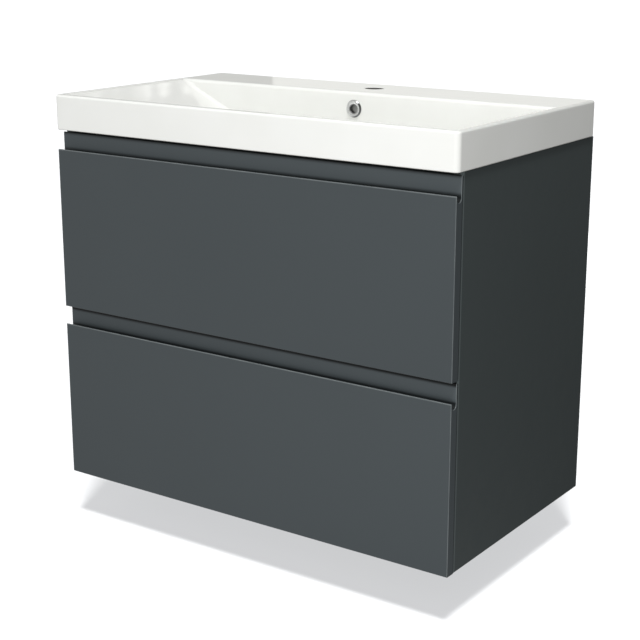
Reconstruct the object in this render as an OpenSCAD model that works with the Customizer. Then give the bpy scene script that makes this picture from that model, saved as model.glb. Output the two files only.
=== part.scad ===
// Wall-hung bathroom vanity: a cabinet with two handle-free drawers under a
// ceramic washbasin. The origin is the centre of the wall plane at the cabinet's
// underside. X runs to the right, Y into the wall, Z up. Millimetres.

/* [Cabinet] */
// Width over the drawer fronts
front_w = 800; // [700:10:1000]
// Height of the cabinet without the washbasin
cabinet_h = 634; // [630:1:640]
// Depth from the wall to the front edge of the side panels
carcass_d = 443; // [430:1:460]
// Thickness of the side panels, bottom and rails
board_t = 16; // [15:1:16]
// How far each drawer front stands proud of the side panels, sideways
front_proud = 1.5; // [0.5:0.5:3]

/* [Drawer fronts] */
// Thickness of a drawer front
front_t = 19; // [19:1:22]
// Gap between a drawer front and the side panels
front_gap = 3; // [3:0.5:4]
// Height of the lower front's lip
lower_lip_z = 284.1; // [280:0.1:286]
// Height of the upper front's bottom edge
upper_z = 316.8; // [315:0.1:320]
// Height of the upper front's lip
upper_lip_z = 600.8; // [596:0.1:602]
// Height of the grip's back wall above the lip
grip_h = 28.7; // [24:0.1:28.7]
// Thickness of the grip's back wall
grip_wall = 4; // [3:0.5:5]
// Thickness of the lip
lip_t = 2; // [1.6:0.2:3]
// Depth of the finger groove behind the lip
groove_d = 10.5; // [9:0.5:14]

/* [Washbasin] */
// Width of the washbasin
basin_w = 805; // [805:1:1010]
// Height of the washbasin's apron
basin_h = 60.6; // [58:0.1:64]
// Overhang of the washbasin over the drawer fronts
basin_overhang = 2; // [1:0.5:6]
// Gap between the washbasin and the wall
basin_wall_gap = 4; // [2:1:6]
// Radius of the washbasin's upright corners
basin_corner_r = 9; // [6:1:12]
// Depth of the bowl below the rim
bowl_depth = 109.6; // [100:0.1:112]
// Radius of the tap hole
tap_r = 17.5; // [16:0.5:18.5]
// Radius of the waste hole
waste_r = 23; // [21.5:0.5:23.5]
// Height of the overflow above the cabinet's underside
overflow_z = 665.5; // [662:0.5:668]

/* [Drawer boxes] */
// Height of the drawer sides
side_h = 85; // [70:1:100]
// Length of the drawer sides and runners
runner_l = 398; // [380:1:398]
// Half width of the siphon cut-out
cutout_hw = 84; // [70:1:100]
// Distance from the wall to the front end of the siphon cut-out
cutout_y = 337; // [310:1:345]
// Height of the gallery rails above the runner
gallery_z = 170; // [140:1:180]

/* [Hidden] */
$fn = 48;
e = 0.5;                                   // how far a cutter runs past a face

xo = front_w / 2 - front_proud;            // outer face of a side panel
xi = xo - board_t;                         // inner face of a side panel
yc = -carcass_d;                           // front edge of the side panels
yr = yc - front_gap;                       // rear face of the drawer fronts
yf = yr - front_t;                         // front face of the drawer fronts
groove_w = front_t - lip_t - grip_wall;    // width of the finger groove
groove_r = groove_w / 2;

by0 = yf - basin_overhang;                 // basin front
by1 = -basin_wall_gap;                     // basin back
bz0 = cabinet_h + 1;                       // basin underside
bz1 = bz0 + basin_h;                       // basin rim
bx = basin_w / 2;
rim_x = bx - 11.5;                         // inner edge of the side rims
rim_y = by0 + 15;                          // inner edge of the front rim
bowl_back = -133;                          // back wall of the bowl
floor_z = bz1 - bowl_depth;                // bowl floor
floor_x = bx - 236.5;                      // half length of the bowl floor
floor_y = rim_y + 72;                      // front edge of the bowl floor
shell = 10;                                // thickness of the ceramic
waste_y = -262;
tap_y = -67;

upper_base = upper_z + 3.2;                // underside of the upper runners
lower_base = board_t + 4;                  // underside of the lower runners
run_y1 = yc + 3 + runner_l;                // back end of the runners
box_y0 = yr + 1.5;                         // front end of the drawer sides
box_y1 = run_y1 - 1;                       // back end of the drawer sides
side_t = 1.2;                              // steel thickness of the drawer sides
deck = 18 + side_t;                        // underside of a drawer bottom
back_t = 16;
board_top = deck + 16;                     // top of a drawer bottom
side_top = 18 + side_h;
side_in = 29;                              // drawer side's inner face, from the panel

rail_y1 = -20;                             // rear face of the back rails
rail_y0 = rail_y1 - board_t;               // front face of the back rails

// Joints between the boards and the side panels: y, z, and the direction in
// which the cam disc's bore opens.
cam_at = [
    [-400, board_t / 2, [0, 0, 1]], [-60, board_t / 2, [0, 0, 1]],
    [-400, 308, [0, 0, -1]],
    [yc + board_t / 2, 594, [0, 1, 0]],
    [rail_y1 - board_t / 2, 522, [0, -1, 0]],
    [rail_y1 - board_t / 2, 56, [0, -1, 0]]
];
dowel_at = [
    [-360, board_t / 2], [-100, board_t / 2], [-428, 308],
    [yc + board_t / 2, 620], [rail_y1 - board_t / 2, 540],
    [rail_y1 - board_t / 2, 92]
];
runner_screw_y = [-424, -232, -72];
bracket_screw = [[-70, 564], [-48, 564], [-60, 608]];
bumper_z = [30, 262, 346, 586];
adjust_z = [570, 592];
front_screw_z = [45, 80];
back_screw_z = [50, 88];
deck_screw_y = [-420, -250, -90];

anthracite = [0.23, 0.26, 0.27];
carcass_grey = [0.25, 0.28, 0.29];
steel = [0.72, 0.73, 0.74];
ceramic = [0.95, 0.95, 0.93];
drawer_grey = [0.45, 0.47, 0.48];

// A section drawn in (x, z), swept along Y from y0 to y1.
module along_y(y0, y1) {
    translate([0, y1, 0]) rotate([90, 0, 0]) linear_extrude(y1 - y0) children();
}
// A section drawn in (y, z), swept along X from x0 to x1.
module along_x(x0, x1) {
    translate([x0, 0, 0]) rotate([90, 0, 90]) linear_extrude(x1 - x0) children();
}
module rod_x(x, y, z, r, l) translate([x, y, z]) rotate([0, 90, 0]) cylinder(r = r, h = l);
module rod_y(x, y, z, r, l) translate([x, y, z]) rotate([-90, 0, 0]) cylinder(r = r, h = l);
module box(x0, x1, y0, y1, z0, z1) translate([x0, y0, z0]) cube([x1 - x0, y1 - y0, z1 - z0]);
module both() { children(); mirror([1, 0, 0]) children(); }
module left() mirror([1, 0, 0]) children();

// ---- washbasin ----

module basin_outline() {
    r = basin_corner_r;
    union() {
        translate([-bx + r, by0]) square([2 * bx - 2 * r, by1 - by0]);
        translate([-bx, by0 + r]) square([2 * bx, by1 - by0 - 2 * r]);
        for (x = [-bx + r, bx - r], y = [by0 + r, by1 - r]) translate([x, y]) circle(r = r);
    }
}
// The bowl's section across X: gentle slopes at both ends, a flat floor.
end_slope = (bz1 - 2.6 - floor_z) / (rim_x - floor_x);
module bowl_xz(t) {
    dx = t * sqrt(1 + 1 / (end_slope * end_slope));
    x0 = floor_x + dx - t / end_slope;
    x1 = min(bx - 5, rim_x + dx);
    z1 = floor_z + (x1 - floor_x - dx) * end_slope;
    top = t > 0 ? bz1 - 5 : bz1 + 5;
    polygon([[-x0, floor_z - t], [x0, floor_z - t], [x1, z1], [x1, top], [-x1, top], [-x1, z1]]);
}
// The bowl's section across Y: sloped at the front, upright at the back.
front_slope = 72 / (bz1 - 5 - floor_z);
module bowl_yz(t) {
    dy = t * sqrt(1 + front_slope * front_slope);
    y0 = floor_y - dy + t * front_slope;
    y1 = rim_y - (t > 0 ? 6 : 0);
    z1 = floor_z + (floor_y - dy - y1) / front_slope;
    top = t > 0 ? bz1 - 5 : bz1 + 5;
    polygon([[y0, floor_z - t], [bowl_back - 7 + t, floor_z - t], [bowl_back + t, floor_z + 59],
             [bowl_back + t, top], [y1, top], [y1, z1]]);
}
module bowl(t) {
    intersection() {
        along_y(by0 - e, by1 + e) bowl_xz(t);
        along_x(-bx - e, bx + e) bowl_yz(t);
    }
}
module washbasin() {
    color(ceramic) difference() {
        union() {
            difference() {
                translate([0, 0, bz0]) linear_extrude(basin_h) basin_outline();
                box(-bx + 16, bx - 16, by0 + 12, by1 - 12, bz0 - e, bz1 - shell);
            }
            bowl(shell);
            // overflow duct behind and under the bowl
            box(-25, 25, bowl_back + shell - 2, -103, floor_z - 28, bz1 - 8);
            box(-25, 25, waste_y, -103, floor_z - 28, floor_z - 4);
            translate([0, waste_y, floor_z - 28]) cylinder(r = 34, h = 24);
        }
        bowl(0);
        // inside of the overflow duct
        box(-17, 17, bowl_back + shell, -111, floor_z - 20, bz1 - 20);
        box(-12, 12, waste_y, -112, floor_z - 20, floor_z - 12);
        rod_y(0, bowl_back - 4, overflow_z, 11, shell + 6);
        translate([0, waste_y, floor_z - 40]) cylinder(r = waste_r, h = 60);
        translate([0, tap_y, bz1 - 40]) cylinder(r = tap_r, h = 60);
    }
}
module overflow_ring() {
    color("silver") translate([0, bowl_back, overflow_z]) rotate([90, 0, 0]) rotate_extrude()
        polygon([[7.75, -8], [10.8, -8], [10.8, 0], [15.5, 0], [15.5, 1], [13.5, 3], [11, 3], [7.75, 1]]);
}
module silicone_beads() {
    color("white") both() box(bx - 15.5, xo - 0.5, yc + 4, by1 - 8, cabinet_h, bz0);
}

// ---- carcass ----

module side_bores() {
    for (c = cam_at) rod_x(xi - e, c[0], c[1], 2.55, 11.8);
    for (d = dowel_at) rod_x(xi - e, d[0], d[1], 4.05, 11);
    for (b = [upper_base, lower_base], y = runner_screw_y) rod_x(xi - e, y, b + 28, 2.55, 13);
    for (s = bracket_screw) rod_x(xi - e, s[0], s[1], 2.05, 13);
}
module side_panel() {
    color(carcass_grey) difference() {
        box(xi, xo, yc, 0, 0, cabinet_h);
        side_bores();
    }
}
// Bores in a board's two ends for the cam bolts, cam discs and dowels.
module end_bores(cams, dowels) {
    both() {
        for (c = cams) {
            rod_x(xi - 34, c[0], c[1], 3.6, 34 + e);
            cam_space(c, 7.5, 12.6, e);
        }
        for (d = dowels) rod_x(xi - 20.5, d[0], d[1], 4.05, 21);
    }
}
// A cylinder across the cam bolt, from the board's open face inwards.
module cam_space(c, r, depth, over) {
    n = c[2];
    face = board_t / 2;
    translate([xi - 34, c[0], c[1]])
        if (n[2] != 0)
            translate([0, 0, n[2] > 0 ? face - depth : -face - over]) cylinder(r = r, h = depth + over);
        else
            translate([0, n[1] > 0 ? face - depth : -face - over, 0]) rotate([-90, 0, 0]) cylinder(r = r, h = depth + over);
}
module bottom_panel() {
    color(carcass_grey) difference() {
        box(-xi, xi, yc, 0, 0, board_t);
        end_bores([cam_at[0], cam_at[1]], [dowel_at[0], dowel_at[1]]);
    }
}
module middle_front_rail() {
    color(carcass_grey) difference() {
        box(-xi, xi, yc, yc + 70, 308 - board_t / 2, 308 + board_t / 2);
        end_bores([cam_at[2]], [dowel_at[2]]);
    }
}
module top_front_rail() {
    color(carcass_grey) difference() {
        box(-xi, xi, yc, yc + board_t, cabinet_h - 60, cabinet_h);
        end_bores([cam_at[3]], [dowel_at[3]]);
    }
}
module upper_back_rail() {
    color(carcass_grey) difference() {
        box(-xi, xi, rail_y0, rail_y1, 500, cabinet_h);
        end_bores([cam_at[4]], [dowel_at[4]]);
        both() box(xi - 22, xi + e, rail_y0 - e, rail_y1 + e, 554, 620);
    }
}
module lower_back_rail() {
    color(carcass_grey) difference() {
        box(-xi, xi, rail_y0, rail_y1, board_t, board_t + 100);
        end_bores([cam_at[5]], [dowel_at[5]]);
    }
}
module cam_discs() {
    color("silver") both() for (c = cam_at) difference() {
        cam_space(c, 7.4, 12.4, 0);
        rod_x(xi - 34, c[0], c[1], 4, 20);
    }
}
module cam_bolts() {
    color("silver") both() for (c = cam_at) {
        rod_x(xi - 33.5, c[0], c[1], 3.5, 33.5);
        rod_x(xi - 1, c[0], c[1], 2.5, 12);
    }
}
module wooden_dowels() {
    color("burlywood") both() for (d = dowel_at) rod_x(xi - 20, d[0], d[1], 4, 30);
}
module bumper_pads() {
    color([0.8, 0.8, 0.8]) both() for (z = bumper_z)
        rod_y(xi + board_t / 2, yc - front_gap + 0.3, z, 4, front_gap - 0.3);
}

// ---- wall hanging ----

module hanging_bracket() {
    color(drawer_grey) difference() {
        box(xi - 20, xi, -80, rail_y0, 556, 616);
        box(xi - 18, xi - 2, -78, rail_y0 + e, 559, 613);
        for (s = bracket_screw) rod_x(xi - 3, s[0], s[1], 2.1, 4);
        for (z = adjust_z) rod_y(xi - 10, -82, z, 3.1, 6);
    }
}
module hanging_hook() {
    color(steel) along_x(xi - 12, xi - 8) polygon([
        [-68, 602], [-60, 602], [-60, 580], [-46, 580], [-46, 597], [-38, 602],
        [-7.2, 602], [-7.2, 590], [-3.2, 590], [-3.2, 611], [-68, 611]]);
}
module wall_plate() {
    color(steel) difference() {
        along_x(xi - 60, xi - 3) union() {
            translate([-2.5, 528]) square([2.5, 74]);
            translate([-10.5, 585]) square([10.5, 2.5]);
            translate([-10.5, 585]) square([2.5, 17]);
        }
        for (z = [540, 572]) rod_y(xi - 30.5, -4, z, 3.5, 6);
    }
}
module bracket_adjusting_screws() {
    color("silver") both() for (z = adjust_z) {
        rod_y(xi - 10, -84, z, 5, 4);
        rod_y(xi - 10, -80.5, z, 3, 10);
    }
}
module bracket_fixing_screws() {
    color("silver") both() for (s = bracket_screw) {
        rod_x(xi - 4, s[0], s[1], 3.5, 2);
        rod_x(xi - 2.5, s[0], s[1], 2, 14.5);
    }
}

// ---- runners ----

// Sections for the right-hand side: u runs inwards from the side panel.
module rect_u(u0, u1, z0, z1) translate([xi - u1, z0]) square([u1 - u0, z1 - z0]);
module cabinet_runner(b) {
    color(steel) difference() {
        along_y(yc + 3, run_y1) union() {
            rect_u(0, 1.5, b, b + 38);
            rect_u(0, 34, b, b + 1.5);
            rect_u(32.5, 34, b, b + 10);
        }
        for (y = runner_screw_y) rod_x(xi - 3, y, b + 28, 2.6, 4);
    }
}
module middle_runner(b) {
    color(steel) along_y(yc + 8, run_y1 - 8) union() {
        rect_u(13, 31, b + 2.2, b + 3.7);
        rect_u(13, 14.5, b + 2.2, b + 13);
        rect_u(29.5, 31, b + 2.2, b + 13);
    }
}
module drawer_runner(b) {
    color(steel) along_y(box_y0 + 4, box_y1) union() {
        rect_u(15, 29, b + 16.5, b + 18);
        rect_u(15, 16.5, b + 4.4, b + 18);
        rect_u(27.5, 29, b + 4.4, b + 18);
    }
}
module runner_screws() {
    color("silver") both() for (b = [upper_base, lower_base], y = runner_screw_y) {
        rod_x(xi - 3.5, y, b + 28, 4, 2);
        rod_x(xi - 2, y, b + 28, 2.5, 14);
    }
}
module soft_close_units() {
    color([0.35, 0.36, 0.38]) both() for (b = [upper_base, lower_base]) union() {
        box(xi - 12, xi - 1.5, -210, -70, b + 1.5, b + 15);
        rod_y(xi - 7, -224, b + 8, 4, 16);
    }
}

// ---- drawers ----

// A drawer front with a finger groove behind its lip and a thin wall above it.
module drawer_front(z0, lip_z, b) {
    color(anthracite) difference() {
        along_x(-front_w / 2, front_w / 2) difference() {
            union() {
                translate([yf, z0]) square([front_t, lip_z - lip_t / 2 - z0]);
                translate([yf + lip_t / 2, lip_z - lip_t / 2]) circle(r = lip_t / 2);
                translate([yr - grip_wall, z0]) square([grip_wall, lip_z + grip_h - z0]);
            }
            translate([yf + lip_t + groove_r, lip_z - groove_d + groove_r]) {
                circle(r = groove_r);
                translate([-groove_r, 0]) square([groove_w, 60]);
            }
        }
        both() {
            for (z = front_screw_z) rod_y(xi - 21, yr - 12.5, b + z, 2.05, 13);
            rod_y(xi - 21, yr - 10.5, b + gallery_z, 2.05, 11);
        }
    }
}
module drawer_side(b) {
    color(drawer_grey) difference() {
        along_y(box_y0, box_y1) difference() {
            union() {
                rect_u(13, side_in, b + 18, b + side_top);
                rect_u(side_in - e, side_in + 13, b + 18, b + deck);
            }
            rect_u(13 + side_t, side_in - side_t, b + deck, b + side_top - side_t);
        }
        for (y = deck_screw_y) translate([xi - 35.5, y, b + 10]) cylinder(r = 1.9, h = 20);
        translate([xi - 21, -60, b + side_top - 5]) cylinder(r = 3.1, h = 10);
    }
}
module deck_pilots(b) {
    both() for (y = deck_screw_y) translate([xi - 35.5, y, b + deck - 1]) cylinder(r = 1.8, h = 12.5);
}
module back_pilots(b) {
    both() for (z = back_screw_z) rod_y(xi - 48, box_y1 - 12.5, b + z, 1.8, 13);
}
module upper_drawer_bottom() {
    b = upper_base;
    color(drawer_grey) difference() {
        box(-xi + side_in + 0.2, xi - side_in - 0.2, yr, box_y1, b + deck, b + board_top);
        box(-cutout_hw, cutout_hw, -cutout_y, box_y1 + e, b + deck - e, b + board_top + e);
        deck_pilots(b);
    }
}
module lower_drawer_bottom() {
    b = lower_base;
    color(drawer_grey) difference() {
        box(-xi + side_in + 0.2, xi - side_in - 0.2, yr, box_y1, b + deck, b + board_top);
        deck_pilots(b);
    }
}
module upper_drawer_back() {
    b = upper_base;
    color(drawer_grey) difference() {
        box(cutout_hw + 8, xi - side_in - 0.2, box_y1 - back_t, box_y1, b + board_top, b + side_top);
        back_pilots(b);
    }
}
module lower_drawer_back() {
    b = lower_base;
    color(drawer_grey) difference() {
        box(-xi + side_in + 0.2, xi - side_in - 0.2, box_y1 - back_t, box_y1, b + board_top, b + side_top);
        back_pilots(b);
    }
}
module siphon_surround() {
    b = upper_base;
    color(drawer_grey) difference() {
        box(-cutout_hw - 8, cutout_hw + 8, -cutout_y - 8, box_y1, b + board_top, b + side_top);
        box(-cutout_hw, cutout_hw, -cutout_y, box_y1 + e, b + board_top - e, b + side_top + e);
    }
}
module front_brackets(b) {
    color(steel) both() difference() {
        union() {
            box(xi - 27.4, xi - 14.6, yr, yr + 1.5, b + 21, b + side_top - 3);
            box(xi - 16.2, xi - 14.6, yr, yr + 42, b + 21, b + side_top - 3);
        }
        for (z = front_screw_z) rod_y(xi - 21, yr - 1, b + z, 2.1, 4);
    }
}
module back_brackets(b) {
    color(steel) both() difference() {
        union() {
            box(xi - 16.2, xi - 14.6, box_y1 - 40, box_y1 + 1.5, b + 37, b + side_top - 3);
            box(xi - 62, xi - 14.6, box_y1, box_y1 + 1.5, b + 37, b + side_top - 3);
        }
        for (z = back_screw_z) rod_y(xi - 48, box_y1 - 1, b + z, 1.9, 4);
    }
}
module gallery_rails(b) {
    color([0.4, 0.42, 0.43]) both() rod_y(xi - 21, yr + 3, b + gallery_z, 5, box_y1 - 8 - yr - 3);
}
// A socket on the drawer front and a post on the drawer side for each rail.
module gallery_supports(b) {
    color([0.4, 0.42, 0.43]) both() {
        difference() {
            union() {
                rod_y(xi - 21, yr, b + gallery_z, 8, 14);
                rod_y(xi - 21, yr - 10, b + gallery_z, 2, 11);
            }
            rod_y(xi - 21, yr + 2.9, b + gallery_z, 5.05, 20);
        }
        difference() {
            union() {
                box(xi - 28, xi - 14, -68, -52, b + side_top, b + gallery_z + 9);
                translate([xi - 21, -60, b + side_top - 4]) cylinder(r = 3, h = 6);
            }
            rod_y(xi - 21, -80, b + gallery_z, 5.05, 40);
        }
    }
}
module drawer_screws(b) {
    color("silver") both() {
        for (z = front_screw_z) {
            rod_y(xi - 21, yr + 1.5, b + z, 3.8, 2);
            rod_y(xi - 21, yr - 12, b + z, 2, 14.5);
        }
        for (z = back_screw_z) {
            rod_y(xi - 48, box_y1 + 1.5, b + z, 3.4, 1.8);
            rod_y(xi - 48, box_y1 - 12, b + z, 1.75, 14.5);
        }
        for (y = deck_screw_y) translate([xi - 35.5, y, b]) {
            translate([0, 0, 16.4]) cylinder(r = 3.4, h = 1.6);
            translate([0, 0, 17]) cylinder(r = 1.75, h = deck - 17 + 11);
        }
    }
}

washbasin();
overflow_ring();
silicone_beads();
left() side_panel();  // side_panel_left
side_panel();  // side_panel_right
bottom_panel();
top_front_rail();
middle_front_rail();
upper_back_rail();
lower_back_rail();
cam_discs();
cam_bolts();
wooden_dowels();
left() hanging_bracket();  // hanging_bracket_left
hanging_bracket();  // hanging_bracket_right
left() hanging_hook();  // hanging_hook_left
hanging_hook();  // hanging_hook_right
left() wall_plate();  // wall_plate_left
wall_plate();  // wall_plate_right
bracket_adjusting_screws();
bracket_fixing_screws();
left() cabinet_runner(upper_base);  // cabinet_runner_upper_left
cabinet_runner(upper_base);  // cabinet_runner_upper_right
left() cabinet_runner(lower_base);  // cabinet_runner_lower_left
cabinet_runner(lower_base);  // cabinet_runner_lower_right
runner_screws();
soft_close_units();
bumper_pads();
left() middle_runner(upper_base);  // middle_runner_upper_left
middle_runner(upper_base);  // middle_runner_upper_right
left() middle_runner(lower_base);  // middle_runner_lower_left
middle_runner(lower_base);  // middle_runner_lower_right
drawer_front(upper_z, upper_lip_z, upper_base);  // upper_drawer_front
left() drawer_side(upper_base);  // upper_drawer_side_left
drawer_side(upper_base);  // upper_drawer_side_right
upper_drawer_bottom();
left() upper_drawer_back();  // upper_drawer_back_left
upper_drawer_back();  // upper_drawer_back_right
siphon_surround();
left() drawer_runner(upper_base);  // drawer_runner_upper_left
drawer_runner(upper_base);  // drawer_runner_upper_right
front_brackets(upper_base);  // upper_front_brackets
back_brackets(upper_base);  // upper_back_brackets
gallery_rails(upper_base);  // upper_gallery_rails
gallery_supports(upper_base);  // upper_gallery_supports
drawer_screws(upper_base);  // upper_drawer_screws
drawer_front(0, lower_lip_z, lower_base);  // lower_drawer_front
left() drawer_side(lower_base);  // lower_drawer_side_left
drawer_side(lower_base);  // lower_drawer_side_right
lower_drawer_bottom();
lower_drawer_back();
left() drawer_runner(lower_base);  // drawer_runner_lower_left
drawer_runner(lower_base);  // drawer_runner_lower_right
front_brackets(lower_base);  // lower_front_brackets
back_brackets(lower_base);  // lower_back_brackets
gallery_rails(lower_base);  // lower_gallery_rails
gallery_supports(lower_base);  // lower_gallery_supports
drawer_screws(lower_base);  // lower_drawer_screws
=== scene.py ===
import math

import bmesh
import bpy
from mathutils import Matrix, Vector


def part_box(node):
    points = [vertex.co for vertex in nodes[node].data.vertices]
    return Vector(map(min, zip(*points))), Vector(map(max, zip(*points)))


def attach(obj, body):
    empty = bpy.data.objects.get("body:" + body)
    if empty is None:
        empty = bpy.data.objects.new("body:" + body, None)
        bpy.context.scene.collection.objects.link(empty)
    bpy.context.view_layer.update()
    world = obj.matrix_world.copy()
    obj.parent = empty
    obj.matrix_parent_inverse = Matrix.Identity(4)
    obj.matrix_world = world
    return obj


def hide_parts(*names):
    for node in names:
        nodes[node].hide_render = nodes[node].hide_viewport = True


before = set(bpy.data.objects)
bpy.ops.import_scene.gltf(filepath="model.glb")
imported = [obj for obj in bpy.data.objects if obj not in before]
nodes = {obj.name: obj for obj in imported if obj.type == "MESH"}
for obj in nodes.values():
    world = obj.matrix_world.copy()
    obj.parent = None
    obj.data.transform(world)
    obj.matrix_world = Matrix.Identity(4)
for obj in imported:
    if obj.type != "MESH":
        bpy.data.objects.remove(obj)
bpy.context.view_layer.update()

scene = bpy.context.scene


# ---------------------------------------------------------------- mesh helpers

def new_object(name, verts, faces, smooth=True):
    """A mesh object from points in millimetres, with its normals turned outwards."""
    me = bpy.data.meshes.new(name)
    me.from_pydata([(x * 0.001, y * 0.001, z * 0.001) for x, y, z in verts], [], faces)
    bm = bmesh.new()
    bm.from_mesh(me)
    bmesh.ops.recalc_face_normals(bm, faces=bm.faces)
    for f in bm.faces:
        f.smooth = smooth
    bm.to_mesh(me)
    bm.free()
    ob = bpy.data.objects.new(name, me)
    scene.collection.objects.link(ob)
    return ob


def loft(rings, closed_along=False, cap=False):
    """Quads between rings of equal length; each ring is closed on itself."""
    n = len(rings[0])
    verts = [p for r in rings for p in r]
    faces = []
    last = len(rings) if closed_along else len(rings) - 1
    for k in range(last):
        a, b = k * n, ((k + 1) % len(rings)) * n
        for i in range(n):
            j = (i + 1) % n
            faces.append((a + i, a + j, b + j, b + i))
    if cap:
        faces.append(tuple(range(n - 1, -1, -1)))
        faces.append(tuple(range((len(rings) - 1) * n, len(rings) * n)))
    return verts, faces


def arc(cx, cy, r, a0, a1, n):
    """n + 1 points of an arc, angles in degrees."""
    return [(cx + r * math.cos(math.radians(a0 + (a1 - a0) * i / n)),
             cy + r * math.sin(math.radians(a0 + (a1 - a0) * i / n))) for i in range(n + 1)]


def resample(pts, n):
    """n points spread evenly by length along a polyline."""
    d = [0.0]
    for a, b in zip(pts, pts[1:]):
        d.append(d[-1] + math.dist(a, b))
    out, k = [], 0
    for i in range(n):
        s = d[-1] * i / (n - 1)
        while k < len(pts) - 2 and d[k + 1] < s:
            k += 1
        t = (s - d[k]) / max(d[k + 1] - d[k], 1e-9)
        out.append(tuple(p + (q - p) * t for p, q in zip(pts[k], pts[k + 1])))
    return out


def fillet(pts, radii, n=6):
    """An open 2-D polyline with its inner corners rounded to the given radii."""
    out = [pts[0]]
    for i in range(1, len(pts) - 1):
        p, q, s = Vector(pts[i - 1]), Vector(pts[i]), Vector(pts[i + 1])
        r = radii[i - 1]
        u, v = (p - q).normalized(), (s - q).normalized()
        half = math.acos(max(-1, min(1, u.dot(v)))) / 2
        if r <= 0 or half > math.radians(89.5):
            out.append(tuple(q))
            continue
        t = min(r / math.tan(half), 0.49 * (p - q).length, 0.49 * (s - q).length)
        r = t * math.tan(half)
        c = q + (u + v).normalized() * (r / math.sin(half))
        a = (q + u * t) - c
        b = (q + v * t) - c
        a0 = math.atan2(a.y, a.x)
        turn = (math.atan2(b.y, b.x) - a0 + math.pi) % (2 * math.pi) - math.pi
        for k in range(n + 1):
            w = a0 + turn * k / n
            out.append((c.x + r * math.cos(w), c.y + r * math.sin(w)))
    out.append(pts[-1])
    return out


def boolean(ob, tool, operation):
    """Applies an exact boolean and removes the tool."""
    m = ob.modifiers.new("cut", "BOOLEAN")
    m.operation, m.solver, m.object = operation, "EXACT", tool
    dg = bpy.context.evaluated_depsgraph_get()
    me = bpy.data.meshes.new_from_object(ob.evaluated_get(dg))
    ob.modifiers.clear()
    ob.data = me
    bpy.data.objects.remove(tool)


def block(name, x0, x1, y0, y1, z0, z1, r=0.0, steps=3):
    """A box with rounded edges, used only to build or cut the basin's underside."""
    bm = bmesh.new()
    bmesh.ops.create_cube(bm, size=1.0)
    for v in bm.verts:
        v.co = Vector(((x0 + x1) / 2 + v.co.x * (x1 - x0), (y0 + y1) / 2 + v.co.y * (y1 - y0),
                       (z0 + z1) / 2 + v.co.z * (z1 - z0))) * 0.001
    if r:
        bmesh.ops.bevel(bm, geom=bm.edges[:], offset=r * 0.001, segments=steps, profile=0.5,
                        affect="EDGES")
    me = bpy.data.meshes.new(name)
    bm.to_mesh(me)
    bm.free()
    ob = bpy.data.objects.new(name, me)
    scene.collection.objects.link(ob)
    return ob


def lathe(name, profile, centre, axis, n=64, closed=True):
    """Turns (radius, distance along the axis) points about an axis through centre."""
    axis = Vector(axis).normalized()
    u = axis.orthogonal().normalized()
    v = axis.cross(u)
    c = Vector(centre)
    rings = []
    for r, s in profile:
        rings.append([tuple(c + axis * s + (u * math.cos(2 * math.pi * i / n)
                                            + v * math.sin(2 * math.pi * i / n)) * r)
                      for i in range(n)])
    verts, faces = loft(rings, closed_along=closed, cap=not closed)
    return new_object(name, verts, faces)


def finish_normals(ob, angle=38):
    ob.data.set_sharp_from_angle(angle=math.radians(angle))
    w = ob.modifiers.new("normals", "WEIGHTED_NORMAL")
    w.keep_sharp, w.weight, w.mode = True, 60, "FACE_AREA_WITH_ANGLE"


# ---------------------------------------------------------------- washbasin

lo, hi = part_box("washbasin")
BX, BYF, BYB = hi.x * 1000, lo.y * 1000, hi.y * 1000        # 402.5, -467, -4
TOP, LOW = hi.z * 1000, 635.0                               # 695.6
BOWL_X, BOWL_F, BOWL_B = 391.0, -452.0, -133.0
FLOOR = 586.0
NS, NL, NC = 12, 20, 10                                     # segments: ends, long sides, corners
N = 2 * NS + 2 * NL + 4 * NC


def smooth(t):
    return t * t * (3 - 2 * t)


def ring(end, front, back, cf, cb):
    """A rounded rectangle. end = (x, z), front and back = (y, z); cf and cb are the front and back corners' (rx, ry)."""
    (xe, ze), (yf, zf), (yb, zb) = end, front, back
    out = []

    def line(p, q, n):
        for i in range(n):
            t = i / n
            out.append(tuple(a + (b - a) * t for a, b in zip(p, q)))

    def corner(cx, cy, rx, ry, a0, z0, z1):
        for i in range(NC):
            t = i / NC
            a = math.radians(a0 + 90 * t)
            out.append((cx + rx * math.cos(a), cy + ry * math.sin(a), z0 + (z1 - z0) * smooth(t)))

    fx, fy = cf
    bx, by = cb
    line((xe, yf + fy, ze), (xe, yb - by, ze), NS)
    corner(xe - bx, yb - by, bx, by, 0, ze, zb)
    line((xe - bx, yb, zb), (-xe + bx, yb, zb), NL)
    corner(-xe + bx, yb - by, bx, by, 90, zb, ze)
    line((-xe, yb - by, ze), (-xe, yf + fy, ze), NS)
    corner(-xe + fx, yf + fy, fx, fy, 180, ze, zf)
    line((-xe + fx, yf, zf), (xe - fx, yf, zf), NL)
    corner(xe - fx, yf + fy, fx, fy, 270, zf, ze)
    return out


def circle(cx, cy, z, r):
    a0 = -math.pi * NS / N
    return [(cx + r * math.cos(a0 + 2 * math.pi * i / N), cy + r * math.sin(a0 + 2 * math.pi * i / N), z)
            for i in range(N)]


def inset(d, z, r=9.0):
    """The outside outline, d inside the basin's own outline."""
    k = max(r - d, 1.2)
    return ring((BX - d, z), (BYF + d, z), (BYB - d, z), (k, k), (k, k))


SLOPE = 225.0 / 107.0                                       # mm along X per mm down, at the ends


def end_x(z):
    return BOWL_X - (693.0 - z) * SLOPE


def front_y(z):
    return BOWL_F + (690.6 - z) * (72.0 / 104.6)


def back_y(z):
    u = max(0.0, (652.0 - z) / 66.0)
    return BOWL_B - 7.0 * u * u


rings = []
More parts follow.
